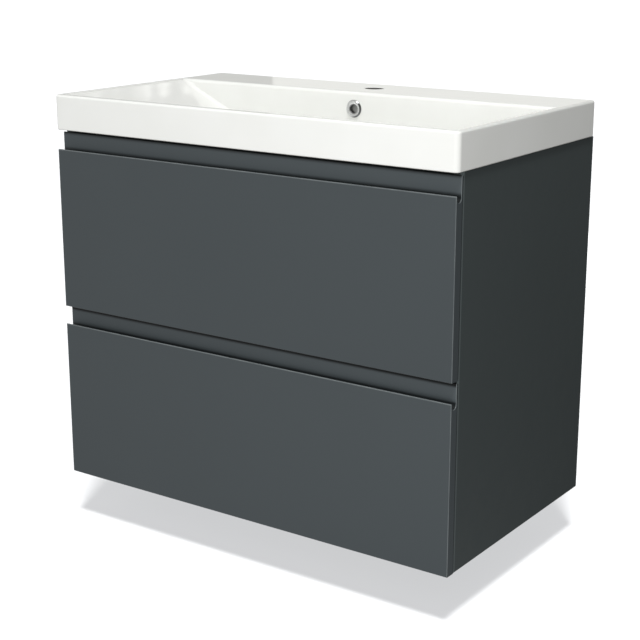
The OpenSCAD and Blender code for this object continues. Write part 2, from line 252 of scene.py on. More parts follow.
# outside: bottom edge r 2, wall, top edge r 4.2
for d, dz in arc(2, 2, 2, 270, 180, 5):
    rings.append(inset(d, LOW + dz))
for z in (652, 668, 682):
    rings.append(inset(0, z))
for d, dz in arc(4.2, -4.2, 4.2, 180, 90, 8):
    rings.append(inset(d, TOP + dz))
# rim: three sides of different width, each with its own inner edge
K = 15
end_top = [(BX - 5.0, TOP)] + fillet(
    [(BX - 5.4, TOP), (BOWL_X + 0.4, TOP), (BOWL_X - 0.2, 693.0), (end_x(682.0), 682.0)], [1.6, 1.6], 5)
front_top = [(BYF + 5.0, TOP)] + fillet(
    [(BYF + 6.0, TOP), (BOWL_F - 0.4, TOP), (BOWL_F + 0.2, 690.6), (front_y(682.0), 682.0)], [3.2, 3.0], 5)
back_top = [(BYB - 5.0, TOP)] + [(BYB - 12.0, TOP)] + fillet(
    [(BOWL_B + 20, TOP), (BOWL_B, TOP), (BOWL_B, 682.0)], [8.0], 12)


def dense(pts, n):
    """Cuts a polyline's longest segments until it has n points."""
    pts = list(pts)
    while len(pts) < n:
        k = max(range(len(pts) - 1), key=lambda i: math.dist(pts[i], pts[i + 1]))
        pts.insert(k + 1, tuple((a + b) / 2 for a, b in zip(pts[k], pts[k + 1])))
    return pts


K = max(len(end_top), len(front_top), len(back_top)) + 1
end_top, front_top, back_top = (dense(p, K) for p in (end_top, front_top, back_top))
for k in range(1, K):
    t = k / (K - 1)
    r = 4.0 + 5.0 * t
    rings.append(ring(end_top[k], front_top[k], back_top[k], (r, r), (r, r)))
# walls of the bowl, level by level
levels = [678, 673, 667, 660, 652, 644, 635, 626, 617, 608]
for z in levels:
    t = min(1.0, (682.0 - z) / 34.0)
    r = 9.0 + 3.0 * t
    rings.append(ring((end_x(z), z), (front_y(z), z), (back_y(z), z), (r, r), (r, r)))
# fillets into the floor
M = 16
end_fl = resample(fillet([(end_x(608), 608), (end_x(FLOOR), FLOOR), (end_x(FLOOR) - 60, FLOOR)], [90], 14), M)
front_fl = resample(fillet([(front_y(608), 608), (front_y(FLOOR), FLOOR), (front_y(FLOOR) + 40, FLOOR)], [34], 14), M)
back_fl = resample(fillet([(back_y(608), 608), (back_y(FLOOR), FLOOR), (back_y(FLOOR) - 40, FLOOR)], [26], 14), M)
for k in range(1, M):
    t = k / (M - 1)
    z = FLOOR + 2.0 * (1 - smooth(t)) * 0
    rings.append(ring(end_fl[k], front_fl[k], back_fl[k], (12 + 38 * t, 12 + 18 * t), (12 + 38 * t, 12 + 18 * t)))
# floor, flat up to the waste, and the waste hole
WX, WY, WR = 0.0, -262.0, 23.0
outer = rings[-1]
target = circle(WX, WY, FLOOR, 60)
for t in (0.35, 0.7, 1.0):
    rings.append([tuple(a + (b - a) * t for a, b in zip(p, q)) for p, q in zip(outer, target)])
for r in (44, 33, 27):
    rings.append(circle(WX, WY, FLOOR, r))
for d, dz in arc(1.6, -1.6, 1.6, 90, 180, 4):
    rings.append(circle(WX, WY, FLOOR + dz, WR + d))
for z in (576, 567):
    rings.append(circle(WX, WY, z, WR))
for d, dz in arc(0.8, 0.8, 0.8, 180, 270, 3):
    rings.append(circle(WX, WY, 558 + dz, WR + d))
for d, dz in arc(-1.0, 1.0, 1.0, 270, 360, 3):
    rings.append(circle(WX, WY, 558 + dz, 34 + d))
for d, dz in arc(3, -3, 3, 180, 90, 3):
    rings.append(circle(WX, WY, 576 + dz, 34 + d))
# underside of the bowl: the same walls, 10 mm further out, up into the hollow apron
T = 10.0
ex, ez = T * 107 / math.hypot(107, 225), T * 225 / math.hypot(107, 225)
fy_, fz_ = T * 104.6 / math.hypot(72, 104.6), T * 72 / math.hypot(72, 104.6)
under = FLOOR - T
xu = lambda z: end_x(z + ez) + ex
yu = lambda z: front_y(z + fz_) - fy_
yb = lambda z: back_y(z) + T
flat = ring((xu(under) - 52, under), (yu(under) + 34, under), (yb(under) - 34, under), (54, 34), (54, 34))
low = circle(WX, WY, under, 37)
for t in (0.3, 0.65, 1.0):
    rings.append([tuple(a + (b - a) * t for a, b in zip(p, q)) for p, q in zip(low, flat)])
eu = resample(fillet([(xu(under) - 52, under), (xu(under), under), (xu(600), 600)], [100], 10), 10)
fu = resample(fillet([(yu(under) + 34, under), (yu(under), under), (yu(600), 600)], [44], 10), 10)
bu = resample(fillet([(yb(under) - 34, under), (yb(under), under), (yb(600), 600)], [36], 10), 10)
for k in range(1, 10):
    t = k / 9
    rings.append(ring(eu[k], fu[k], bu[k], (56, 38), (56, 34)))
for z in (612, 626, 640, 655, 668):
    t = max(0.0, (z - 626) / 42)
    rings.append(ring((xu(z), z), (yu(z), z), (yb(z), z), (56 - 36 * t, 38 - 22 * t), (56 - 36 * t, 34 - 18 * t)))
AX, AF, AB = 386.5, -455.0, -16.0
rings.append(ring((AX - 8, 675.8), (AF + 4.5, 671.5), (BOWL_B + T, 680), (16, 14), (16, 14)))
rings.append(ring((AX - 1.0, 677.6), (AF + 0.8, 674.6), (BOWL_B + T + 2, 685.0), (10, 9), (10, 9)))
rings.append(ring((AX - 0.1, 677.0), (AF + 0.1, 674.2), (BOWL_B + T + 20, 685.6), (8, 8), (8, 8)))
rings.append(ring((AX, 676.0), (AF, 673.0), (AB - 20, 685.6), (6, 6), (6, 6)))
rings.append(ring((AX, 675.0), (AF, 672.0), (AB - 2, 685.2), (6, 6), (6, 6)))
rings.append(ring((AX, 670.0), (AF, 668.0), (AB, 681.0), (6, 6), (6, 6)))
rings.append(ring((AX, 652.0), (AF, 652.0), (AB, 652.0), (6, 6), (6, 6)))
for d, dz in arc(0.8, 0.8, 0.8, 180, 270, 2):
    rings.append(ring((AX + d, LOW + dz), (AF - d, LOW + dz), (AB + d, LOW + dz), (6, 6), (6, 6)))
verts, faces = loft(rings, closed_along=True)
basin = new_object("washbasin_body", verts, faces)

# overflow duct cast on the back of the bowl, down to the boss of the waste
boolean(basin, block("duct", -25, 25, -125, -103, 558, 687.6, 3, 3), "UNION")
boolean(basin, block("duct_foot", -25, 25, -262 + 26, -103.4, 558.4, 582, 2.6, 3), "UNION")
boolean(basin, block("duct_inside", -17, 17, -123, -111, 566, 675.6, 1.2, 2), "DIFFERENCE")
boolean(basin, block("duct_low", -12, 12, -262, -112, 566, 574, 1.0, 2), "DIFFERENCE")
boolean(basin, lathe("overflow_cut", [(11, 0), (11, 14)], (0, -121.0, 665.5), (0, -1, 0), 64, closed=False), "DIFFERENCE")
tap = [(18.9, 5)] + [(18.7, 0.001)] + [(17.5 + 1.2 + x, y) for x, y in arc(0, -1.2, 1.2, 90, 180, 5)][1:] + [(17.5, -14)]
boolean(basin, lathe("tap_cut", tap, (0, -67.0, TOP), (0, 0, 1), 96, closed=False), "DIFFERENCE")
for f in basin.data.polygons:
    f.use_smooth = True
finish_normals(basin, 40)
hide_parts("washbasin")
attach(basin, "cabinet")

# overflow ring: turned, with a rounded lip that stands on the bowl's wall
prof = [(7.9, -7.8), (10.6, -8.0), (10.8, -7.8), (10.8, 0.0), (15.2, 0.0)]
prof += fillet([(15.2, 0.0), (15.5, 0.0), (15.5, 1.0), (13.6, 3.0), (11.2, 3.0), (7.75, 1.2), (7.75, -7.8)],
               [0.15, 0.6, 1.3, 1.6, 1.0], 6)[1:-1]
overflow = lathe("overflow_ring_turned", prof, (0, BOWL_B, 665.5), (0, -1, 0), 96)
finish_normals(overflow, 50)
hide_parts("overflow_ring")
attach(overflow, "cabinet")


# ---------------------------------------------------------------- drawer fronts

def drawer_front(node, name, body):
    """The J-shaped front: a flat face with a thin round lip, a half-round finger groove behind it and a thin wall above."""
    lo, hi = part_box(node)
    x1, y0, y1, z0, z1 = hi.x * 1000, lo.y * 1000, hi.y * 1000, lo.z * 1000, hi.z * 1000
    lip = z1 - 28.7
    g = [(y0, z0), (y0, lip)]
    p = []
    p += fillet([(y0 + 9, z0), (y0, z0), (y0, z0 + 20)], [1.25], 6)[1:-1]
    p += arc(y0 + 1, lip - 1, 1.0, 180, 0, 10)
    p += arc(y0 + 8.5, lip - 4, 6.5, 180, 360, 28)
    p += arc(y0 + 16, z1 - 1, 1.0, 180, 90, 5)
    p += arc(y1 - 1, z1 - 1, 1.0, 90, 0, 5)
    p += arc(y1 - 1, z0 + 1, 1.0, 0, -90, 5)
    n = len(p)

    def shrunk(d):
        out = []
        for i in range(n):
            a, b, c = Vector(p[i - 1]), Vector(p[i]), Vector(p[(i + 1) % n])
            u, v = (b - a).normalized(), (c - b).normalized()
            m = Vector((u.y + v.y, -(u.x + v.x))).normalized()      # to the inside of the outline
            cos = max(0.5, m.dot(Vector((u.y, -u.x))))
            out.append(b + m * (d / cos))
        return out

    steps = [(0.95 * (1 - math.cos(math.radians(a))), 0.95 * (1 - math.sin(math.radians(a))))
             for a in (0, 18, 36, 54, 72, 90)]
    rings = []
    for depth, off in steps:
        rings.append([(-x1 + depth, q.x, q.y) for q in shrunk(off)])
    for x in (-300, -150, 0, 150, 300):
        rings.append([(x, q[0], q[1]) for q in p])
    for depth, off in reversed(steps):
        rings.append([(x1 - depth, q.x, q.y) for q in shrunk(off)])
    verts, faces = loft(rings, cap=True)
    ob = new_object(name, verts, faces)
    finish_normals(ob, 40)
    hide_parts(node)
    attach(ob, body)
    return ob


upper_front = drawer_front("upper_drawer_front", "upper_front_lacquered", "upper_drawer")
lower_front = drawer_front("lower_drawer_front", "lower_front_lacquered", "lower_drawer")


# ---------------------------------------------------------------- CAD nodes: soft edges

def clean_group():
    """Joins the split vertices of an imported mesh and shades it smooth."""
    ng = bpy.data.node_groups.new("clean_mesh", "GeometryNodeTree")
    ng.interface.new_socket("Geometry", in_out="INPUT", socket_type="NodeSocketGeometry")
    ng.interface.new_socket("Geometry", in_out="OUTPUT", socket_type="NodeSocketGeometry")
    a, b = ng.nodes.new("NodeGroupInput"), ng.nodes.new("NodeGroupOutput")
    merge = ng.nodes.new("GeometryNodeMergeByDistance")
    merge.inputs["Distance"].default_value = 0.00001
    shade = ng.nodes.new("GeometryNodeSetShadeSmooth")
    ng.links.new(a.outputs[0], merge.inputs["Geometry"])
    ng.links.new(merge.outputs["Geometry"], shade.inputs["Geometry"])
    ng.links.new(shade.outputs["Geometry"], b.inputs[0])
    return ng


CLEAN = clean_group()
EDGE = {"carcass_board": 0.6, "drawer_board": 0.4, "drawer_steel": 0.45, "runner_steel": 0.22,
        "fastener_steel": 0.18, "bracket_plastic": 0.4, "clear_pad": 0.5, "silicone": 0.3,
        "dowel_wood": 0.4, "chrome": 0.2, "front_lacquer": 0.9, "ceramic": 1.0}


def soften(ob, slot):
    m = ob.modifiers.new("clean", "NODES")
    m.node_group = CLEAN
    d = ob.modifiers.new("planar", "DECIMATE")
    d.decimate_type, d.angle_limit = "DISSOLVE", math.radians(0.4)
    b = ob.modifiers.new("edges", "BEVEL")
    b.width, b.segments, b.limit_method = EDGE[slot] * 0.001, 2, "ANGLE"
    b.angle_limit, b.use_clamp_overlap, b.miter_outer = math.radians(32), True, "MITER_SHARP"
    w = ob.modifiers.new("normals", "WEIGHTED_NORMAL")
    w.keep_sharp, w.weight = False, 60


# ---------------------------------------------------------------- shader helpers

class Shader:
    """A material's node tree, with short names for the nodes that the finishes share."""

    def __init__(self, name):
        self.mat = bpy.data.materials.new(name)
        self.mat.use_nodes = True
        self.t = self.mat.node_tree
        self.t.nodes.clear()
        self.out = self.t.nodes.new("ShaderNodeOutputMaterial")
        self.bsdf = self.t.nodes.new("ShaderNodeBsdfPrincipled")
        self.t.links.new(self.bsdf.outputs[0], self.out.inputs["Surface"])
        self.obj = self.t.nodes.new("ShaderNodeTexCoord").outputs["Object"]

    def node(self, kind, **props):
        n = self.t.nodes.new("ShaderNode" + kind)
        for k, v in props.items():
            setattr(n, k, v)
        return n

    def put(self, socket, value):
        if isinstance(value, bpy.types.NodeSocket):
            self.t.links.new(value, socket)
        elif isinstance(value, (int, float)):
            socket.default_value = value
        else:
            v = tuple(value)
            socket.default_value = v + (1.0,) if len(v) == 3 and len(socket.default_value) == 4 else v

    def math(self, op, a, b=0.0, c=0.0, clamp=False):
        n = self.node("Math", operation=op, use_clamp=clamp)
        for s, v in zip(n.inputs, (a, b, c)):
            self.put(s, v)
        return n.outputs[0]

    def vmath(self, op, a, b=(0, 0, 0)):
        n = self.node("VectorMath", operation=op)
        self.put(n.inputs[0], a)
        self.put(n.inputs[1], b)
        return n.outputs["Value"] if op in ("DOT_PRODUCT", "LENGTH", "DISTANCE") else n.outputs["Vector"]

    def scaled(self, sx, sy, sz, vec=None):
        return self.vmath("MULTIPLY", vec or self.obj, (sx, sy, sz))

    def noise(self, scale, detail=2.0, rough=0.5, vec=None, distortion=0.0, lac=2.0):
        n = self.node("TexNoise")
        self.put(n.inputs["Vector"], vec or self.obj)
        self.put(n.inputs["Scale"], scale)
        self.put(n.inputs["Detail"], detail)
        self.put(n.inputs["Roughness"], rough)
        self.put(n.inputs["Lacunarity"], lac)
        self.put(n.inputs["Distortion"], distortion)
        return n.outputs["Fac"] if "Fac" in n.outputs else n.outputs[0]

    def voronoi(self, scale, feature="F1", out="Distance", vec=None, rand=1.0):
        n = self.node("TexVoronoi", feature=feature)
        self.put(n.inputs["Vector"], vec or self.obj)
        self.put(n.inputs["Scale"], scale)
        if "Randomness" in n.inputs:
            self.put(n.inputs["Randomness"], rand)
        return n.outputs[out]

    def span(self, value, a, b, c=0.0, d=1.0, soft=False):
        n = self.node("MapRange", clamp=True)
        if soft:
            n.interpolation_type = "SMOOTHSTEP"
        for s, v in zip(n.inputs, (value, a, b, c, d)):
            self.put(s, v)
        return n.outputs[0]

    def mix(self, fac, a, b):
        n = self.node("Mix", data_type="RGBA")
        self.put(n.inputs[0], fac)
        self.put(n.inputs[6], a)
        self.put(n.inputs[7], b)
        return n.outputs[2]

    def fade(self, fac, a, b):
        n = self.node("Mix", data_type="FLOAT")
        self.put(n.inputs[0], fac)
        self.put(n.inputs[2], a)
        self.put(n.inputs[3], b)
        return n.outputs[0]

    def bump(self, height, distance, strength=1.0, normal=None):
        n = self.node("Bump")
        self.put(n.inputs["Height"], height)
        self.put(n.inputs["Distance"], distance)
        self.put(n.inputs["Strength"], strength)
        if normal is not None:
            self.put(n.inputs["Normal"], normal)
        return n.outputs[0]

    def edge(self, lo, hi, width):
        """1 along the edges of the box lo...hi, fading out over width."""
        a = self.vmath("SUBTRACT", self.obj, lo)
        b = self.vmath("SUBTRACT", hi, self.obj)
        d = self.vmath("MINIMUM", a, b)
        s = self.node("SeparateXYZ")
        self.put(s.inputs[0], d)
        x, y, z = s.outputs
        mid = self.math("MAXIMUM", self.math("MINIMUM", x, y),
                        self.math("MINIMUM", self.math("MAXIMUM", x, y), z))
        return self.span(mid, 0.0, width, 1.0, 0.0, soft=True)

    def set(self, **values):
        names = {"base": "Base Color", "metal": "Metallic", "rough": "Roughness", "ior": "IOR", "normal": "Normal",
                 "spec": "Specular IOR Level", "coat": "Coat Weight", "coat_rough": "Coat Roughness",
                 "transmit": "Transmission Weight", "aniso": "Anisotropic", "sheen": "Sheen Weight",
                 "sub": "Subsurface Weight", "tint": "Specular Tint", "coat_normal": "Coat Normal"}
        for k, v in values.items():
            self.put(self.bsdf.inputs[names[k]], v)
        return self.mat


def tint(rgb, k):
    return tuple(c * k for c in rgb)


# ---------------------------------------------------------------- materials

def ceramic():
    s = Shader("glazed_sanitary_ceramic")
    tone = s.noise(9.0, 2.0, 0.5)
    speck = s.span(s.noise(700.0, 1.0, 0.5), 0.74, 0.8, 0.0, 1.0)
    geo = s.node("NewGeometry")
    nz = s.node("SeparateXYZ")
    s.put(nz.inputs[0], geo.outputs["Normal"])
    raw = s.span(nz.outputs[2], -0.55, -0.85, 0.0, 1.0)
    pos = s.node("SeparateXYZ")
    s.put(pos.inputs[0], s.vmath("SUBTRACT", s.obj, (0.0, -0.067, TOP * 0.001)))
    away = s.math("SQRT", s.math("ADD", s.math("POWER", pos.outputs[0], 2.0), s.math("POWER", pos.outputs[1], 2.0)))
    # painted shade: the tap hole's wall is unglazed and rough, and its near-black colour is painted shade down in the
    # hole
    bore_biscuit_and_shade = s.math("MULTIPLY", s.span(away, 0.0180, 0.0184, 1.0, 0.0), s.span(pos.outputs[2], -0.0009, -0.0013))
    glaze = s.mix(s.span(tone, 0.3, 0.7), (0.835, 0.842, 0.812), (0.865, 0.872, 0.846))
    glaze = s.mix(s.math("MULTIPLY", speck, 0.12), glaze, (0.62, 0.6, 0.55))
    biscuit = s.mix(s.noise(220.0, 3.0), (0.70, 0.69, 0.65), (0.78, 0.77, 0.73))
    base = s.mix(raw, glaze, biscuit)
    base = s.mix(bore_biscuit_and_shade, base, (0.11, 0.105, 0.10))
    raw = s.math("MAXIMUM", raw, bore_biscuit_and_shade)
    rough = s.fade(raw, s.span(s.noise(60.0, 3.0), 0.3, 0.7, 0.022, 0.036), 0.62)
    wave = s.noise(7.5, 1.5, 0.45)
    peel = s.noise(330.0, 2.0, 0.5)
    n = s.bump(wave, 0.00025, 1.0)
    n = s.bump(peel, 0.00001, 1.0, n)
    grain = s.bump(s.noise(900.0, 3.0), 0.00006, 1.0, n)
    mixn = s.node("Mix", data_type="VECTOR")
    s.put(mixn.inputs[0], raw)
    s.put(mixn.inputs[4], n)
    s.put(mixn.inputs[5], grain)
    return s.set(base=base, rough=rough, ior=1.52, normal=mixn.outputs[1])


def chrome():
    s = Shader("polished_chrome")
    smear = s.noise(160.0, 3.0, 0.6)
    hair = s.noise(90.0, 2.0, 0.5, vec=s.scaled(60, 1, 6))
    base = s.mix(smear, (0.80, 0.81, 0.82), (0.88, 0.885, 0.89))
    p = s.node("SeparateXYZ")
    s.put(p.inputs[0], s.vmath("SUBTRACT", s.obj, (0.0, 0.0, 0.6655)))
    away = s.math("SQRT", s.math("ADD", s.math("POWER", p.outputs[0], 2.0), s.math("POWER", p.outputs[2], 2.0)))
    # painted shade: a dark contact line round the ring's outer edge, darker on its right half, and painted shade round
    # its opening
    right = s.span(s.math("SUBTRACT", p.outputs[0], s.math("MULTIPLY", p.outputs[2], 0.4)), -0.002, 0.007, soft=True)
    rim = s.span(s.math("ADD", away, s.math("MULTIPLY", right, 0.0016)), 0.0142, 0.0152, soft=True)
    lip = s.math("MULTIPLY", s.span(away, 0.0094, 0.0086), 0.6)
    base = s.mix(s.math("MULTIPLY", rim, s.math("ADD", s.math("MULTIPLY", right, 0.45), 0.45)), base, (0.06, 0.06, 0.065))
    base = s.mix(lip, base, (0.10, 0.10, 0.11))
    return s.set(base=base, metal=1.0, rough=s.span(hair, 0.3, 0.7, 0.24, 0.32),
                 normal=s.bump(hair, 0.000004, 1.0))


LACQUER = (0.0560, 0.0664, 0.0715)


def lacquer(lo, hi, name, recess_light, shade, full, reach, depth):
    """Matt lacquer on a J-shaped front, with painted light and shade: a painted highlight along its edges, broken up by
    wear, the groove's back wall painted lighter, and painted shade down in the finger groove, under the part above and
    in the gap behind its ends.
    """
    s = Shader(name)
    slow = s.noise(5.0, 2.0, 0.5)
    fine = s.noise(1500.0, 1.0, 0.5)
    dust = s.span(s.noise(2600.0, 0.0), 0.72, 0.78)
    base = s.mix(slow, tint(LACQUER, 0.97), tint(LACQUER, 1.03))
    base = s.mix(s.math("MULTIPLY", fine, 0.10), base, tint(LACQUER, 1.25))
    base = s.mix(s.math("MULTIPLY", dust, 0.10), base, (0.16, 0.17, 0.17))
    p = s.node("SeparateXYZ")
    s.put(p.inputs[0], s.obj)
    n = s.node("SeparateXYZ")
    s.put(n.inputs[0], s.node("NewGeometry").outputs["Normal"])
    x, y, z = p.outputs
    lip = hi[2] - 0.0287
    behind = s.span(y, lo[1] + 0.0018, lo[1] + 0.0024)
    flank = s.span(s.math("ABSOLUTE", n.outputs[0]), 0.35, 0.55, 1.0, 0.0)
    inner = s.math("MULTIPLY", s.math("MULTIPLY", behind, flank), s.span(y, hi[1] - 0.0005, hi[1] - 0.0010))
    # painted light: the back wall above the groove is painted lighter than the face
    wall = s.math("MULTIPLY", inner, s.span(z, lip, lip + 0.005, soft=True))
    base = s.mix(wall, base, tint(LACQUER, recess_light))
    # painted shade down in the finger groove, just above and below the lip
    groove_shade = s.math("MULTIPLY", s.math("MULTIPLY", inner, s.span(z, lip - 0.0125, lip - 0.0115)),
                  s.span(z, lip - 0.003, lip + reach, 1.0, 0.0, soft=True))
    base = s.mix(s.math("MULTIPLY", groove_shade, depth), base, tint(LACQUER, 0.06))
    # painted shade at the top of the wall, under the part above it
    under = s.math("MULTIPLY", inner, s.math("POWER", s.span(z, hi[2] - shade, hi[2] - full), 1.6))
    base = s.mix(s.math("MULTIPLY", under, 0.95), base, tint(LACQUER, 0.04))
    reveal_shade = s.math("MULTIPLY", s.math("SUBTRACT", 1.0, flank), s.span(y, hi[1] - 0.0026, hi[1] - 0.0018))
    base = s.mix(s.math("MULTIPLY", reveal_shade, 0.80), base, tint(LACQUER, 0.06))   # painted shade in the gap behind the front's ends
    # painted highlight along the front's edges where light catches the rounded arrises, broken up by wear
    highlight_wear = s.span(s.noise(38.0, 4.0, 0.65), 0.28, 0.60, 0.55, 1.0)
    ends = s.math("MULTIPLY", s.span(s.math("ABSOLUTE", x), hi[0] - 0.0015, hi[0] - 0.0008, soft=True),
                  s.span(s.math("ABSOLUTE", n.outputs[0]), 0.70, 0.92, 1.0, 0.0))
    ends = s.math("MULTIPLY", ends, s.span(y, hi[1] - 0.0008, hi[1] - 0.0016))
    top = s.math("MULTIPLY", s.span(z, lip - 0.0021, lip - 0.0012, soft=True), s.span(y, lo[1] + 0.0017, lo[1] + 0.0012))
    foot = s.math("MULTIPLY", s.span(z, lo[2] + 0.0012, lo[2] + 0.0007), s.span(y, lo[1] + 0.003, lo[1] + 0.001))
    edge = s.math("MAXIMUM", s.math("MAXIMUM", ends, top), s.math("MULTIPLY", foot, 0.5))
    edge = s.math("MULTIPLY", edge, highlight_wear)
    base = s.mix(edge, base, (0.140, 0.156, 0.160))
    rough = s.span(s.noise(14.0, 3.0, 0.6), 0.3, 0.7, 0.40, 0.46)
    rough = s.math("SUBTRACT", rough, s.math("MULTIPLY", edge, 0.08))
    bumpy = s.bump(s.noise(420.0, 2.0, 0.5), 0.000018, 1.0)
    bumpy = s.bump(fine, 0.000006, 1.0, bumpy)
    return s.set(base=base, rough=rough, ior=1.5, spec=0.25, normal=bumpy)


def board(lo, hi, name, colour, linen=False):
    """Melamine-faced board: a fine pearl or linen emboss, and lighter edges that are partly a painted highlight."""
    s = Shader(name)
    slow = s.noise(6.0, 2.0, 0.5)
    pearl = s.voronoi(1100.0)
    base = s.mix(slow, tint(colour, 0.96), tint(colour, 1.04))
    base = s.mix(s.math("MULTIPLY", s.noise(900.0, 2.0), 0.12), base, tint(colour, 1.35))
    if linen:
        warp = s.noise(130.0, 3.0, 0.6, vec=s.scaled(14, 1, 14))
        weft = s.noise(130.0, 3.0, 0.6, vec=s.scaled(1, 14, 1))
        weave = s.math("ADD", warp, weft)
        base = s.mix(s.span(weave, 0.75, 1.25, 0.0, 0.5), base, tint(colour, 1.7))
        height = weave
    else:
        height = pearl
    # lighter along the box's edges: partly an edge band, partly painted highlight
    e = s.edge(lo, hi, 0.0012)
    e = s.math("MULTIPLY", e, s.span(s.noise(45.0, 4.0, 0.65), 0.32, 0.62, 0.3, 1.0))
    base = s.mix(s.math("MULTIPLY", e, 0.5), base, (0.105, 0.115, 0.115))
    if name.endswith("top_front_rail"):                     # painted shade right under the basin's apron
        p = s.node("SeparateXYZ")
        s.put(p.inputs[0], s.obj)
        base = s.mix(s.math("MULTIPLY", s.span(p.outputs[2], hi[2] - 0.012, hi[2] - 0.004), 0.85), base, tint(colour, 0.08))
    # painted highlight along the side panels' front edge
    if name.endswith(("side_panel_left", "side_panel_right")):
        p = s.node("SeparateXYZ")
        s.put(p.inputs[0], s.obj)
        band = s.math("MULTIPLY", s.span(p.outputs[1], lo[1] + 0.0034, lo[1] + 0.0026),
                      s.span(s.math("ABSOLUTE", p.outputs[0]), abs(lo[0] + hi[0]) / 2, abs(lo[0] + hi[0]) / 2 + 0.004))
        base = s.mix(s.math("MULTIPLY", band, 0.85), base, tint(colour, 2.1))
    rough = s.span(s.noise(20.0, 3.0, 0.6), 0.3, 0.7, 0.42, 0.50)
    n = s.bump(height, 0.00002, 1.0)
    return s.set(base=base, rough=rough, ior=1.5, spec=0.25, normal=n)


def powder_coat():
    s = Shader("powder_coated_steel")
    base = s.mix(s.noise(8.0, 2.0), (0.058, 0.063, 0.066), (0.070, 0.075, 0.078))
    spark = s.span(s.voronoi(1600.0), 0.0, 0.16, 1.0, 0.0)
    base = s.mix(s.math("MULTIPLY", spark, 0.25), base, (0.22, 0.23, 0.24))
    n = s.bump(s.noise(620.0, 2.5, 0.55), 0.00004, 1.0)
    return s.set(base=base, rough=s.span(s.noise(30.0, 2.0), 0.3, 0.7, 0.38, 0.5), ior=1.5, normal=n)


def galvanised():
    s = Shader("galvanised_steel")
    cell = s.voronoi(95.0, out="Color")
    sep = s.node("SeparateColor")
    s.put(sep.inputs[0], cell)
    tone = sep.outputs[0]
    base = s.mix(tone, (0.47, 0.49, 0.505), (0.62, 0.635, 0.645))
    base = s.mix(s.span(s.noise(70.0, 4.0, 0.6), 0.55, 0.75, 0.0, 0.35), base, (0.36, 0.37, 0.38))
    rough = s.span(tone, 0.0, 1.0, 0.30, 0.46)
    roll = s.noise(60.0, 3.0, 0.6, vec=s.scaled(18, 1, 18))
    n = s.bump(roll, 0.000012, 1.0)
    return s.set(base=base, metal=1.0, rough=rough, normal=n)


def zinc():
    s = Shader("zinc_plated_steel")
    base = s.mix(s.noise(120.0, 3.0, 0.6), (0.60, 0.62, 0.63), (0.74, 0.745, 0.73))
    turned = s.noise(1400.0, 2.0, 0.5)
    return s.set(base=base, metal=1.0, rough=s.span(s.noise(260.0, 3.0), 0.3, 0.7, 0.22, 0.36),
                 normal=s.bump(turned, 0.00001, 1.0))


def nylon():
    s = Shader("moulded_nylon")
    base = s.mix(s.noise(40.0, 3.0), (0.52, 0.53, 0.53), (0.60, 0.605, 0.60))
    n = s.bump(s.voronoi(1500.0), 0.00003, 1.0)
    return s.set(base=base, rough=s.span(s.noise(90.0, 2.0), 0.3, 0.7, 0.38, 0.5), ior=1.53, normal=n)


def sealant():
    s = Shader("silicone_sealant")
    base = s.mix(s.noise(60.0, 3.0), (0.20, 0.205, 0.205), (0.28, 0.285, 0.28))
    return s.set(base=base, rough=s.span(s.noise(150.0, 2.0), 0.3, 0.7, 0.28, 0.42), ior=1.43,
                 normal=s.bump(s.noise(200.0, 2.0), 0.00008, 1.0))


def clear_pad():
    s = Shader("clear_polyurethane_pad")
    base = s.mix(s.noise(300.0, 2.0), (0.80, 0.82, 0.82), (0.90, 0.91, 0.90))
    return s.set(base=base, rough=s.span(s.noise(500.0, 2.0), 0.3, 0.7, 0.12, 0.26), transmit=0.85, ior=1.49,
                 normal=s.bump(s.noise(800.0, 2.0), 0.00002, 1.0))


def beech():
    s = Shader("beech_dowel")
    grain = s.noise(40.0, 5.0, 0.65, vec=s.scaled(3, 40, 40), distortion=0.6)
    base = s.mix(s.span(grain, 0.3, 0.7), (0.42, 0.27, 0.15), (0.60, 0.43, 0.27))
    return s.set(base=base, rough=s.span(grain, 0.3, 0.7, 0.5, 0.7), normal=s.bump(grain, 0.0001, 1.0))


CARCASS = (0.0535, 0.0646, 0.0655)
INSIDE = (0.060, 0.064, 0.066)
shared = {"ceramic": ceramic, "chrome": chrome, "drawer_steel": powder_coat, "runner_steel": galvanised,
          "fastener_steel": zinc, "bracket_plastic": nylon, "silicone": sealant, "clear_pad": clear_pad,
          "dowel_wood": beech}
made = {}
for name, ob in sorted(nodes.items()):
    if ob.hide_render:
        continue
    slot = ob.data.materials[0].name.split(".")[0]
    soften(ob, slot)
    if slot in ("carcass_board", "drawer_board"):
        lo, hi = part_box(name)
        mat = board(tuple(lo), tuple(hi), slot + "_" + name, CARCASS if slot == "carcass_board" else INSIDE,
                    linen=slot == "drawer_board")
    else:
        if slot not in made:
            made[slot] = shared[slot]()
        mat = made[slot]
    ob.data.materials[0] = mat

for ob, mat in ((basin, made.get("ceramic") or ceramic()), (overflow, made.get("chrome") or chrome())):
    ob.data.materials.clear()
    ob.data.materials.append(mat)
for ob, node in ((upper_front, "upper_drawer_front"), (lower_front, "lower_drawer_front")):
    lo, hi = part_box(node)
    ob.data.materials.clear()
    # per front: the groove wall's painted light, the painted shade under the part above, and the painted shade down in
    # the groove
    look = (1.38, 0.0062, 0.0004, 0.0035, 0.84) if node.startswith("upper") else (1.27, 0.0078, 0.0036, 0.0010, 0.80)
    ob.data.materials.append(lacquer(tuple(lo), tuple(hi), "matt_lacquer_" + node, *look))


# ---------------------------------------------------------------- camera

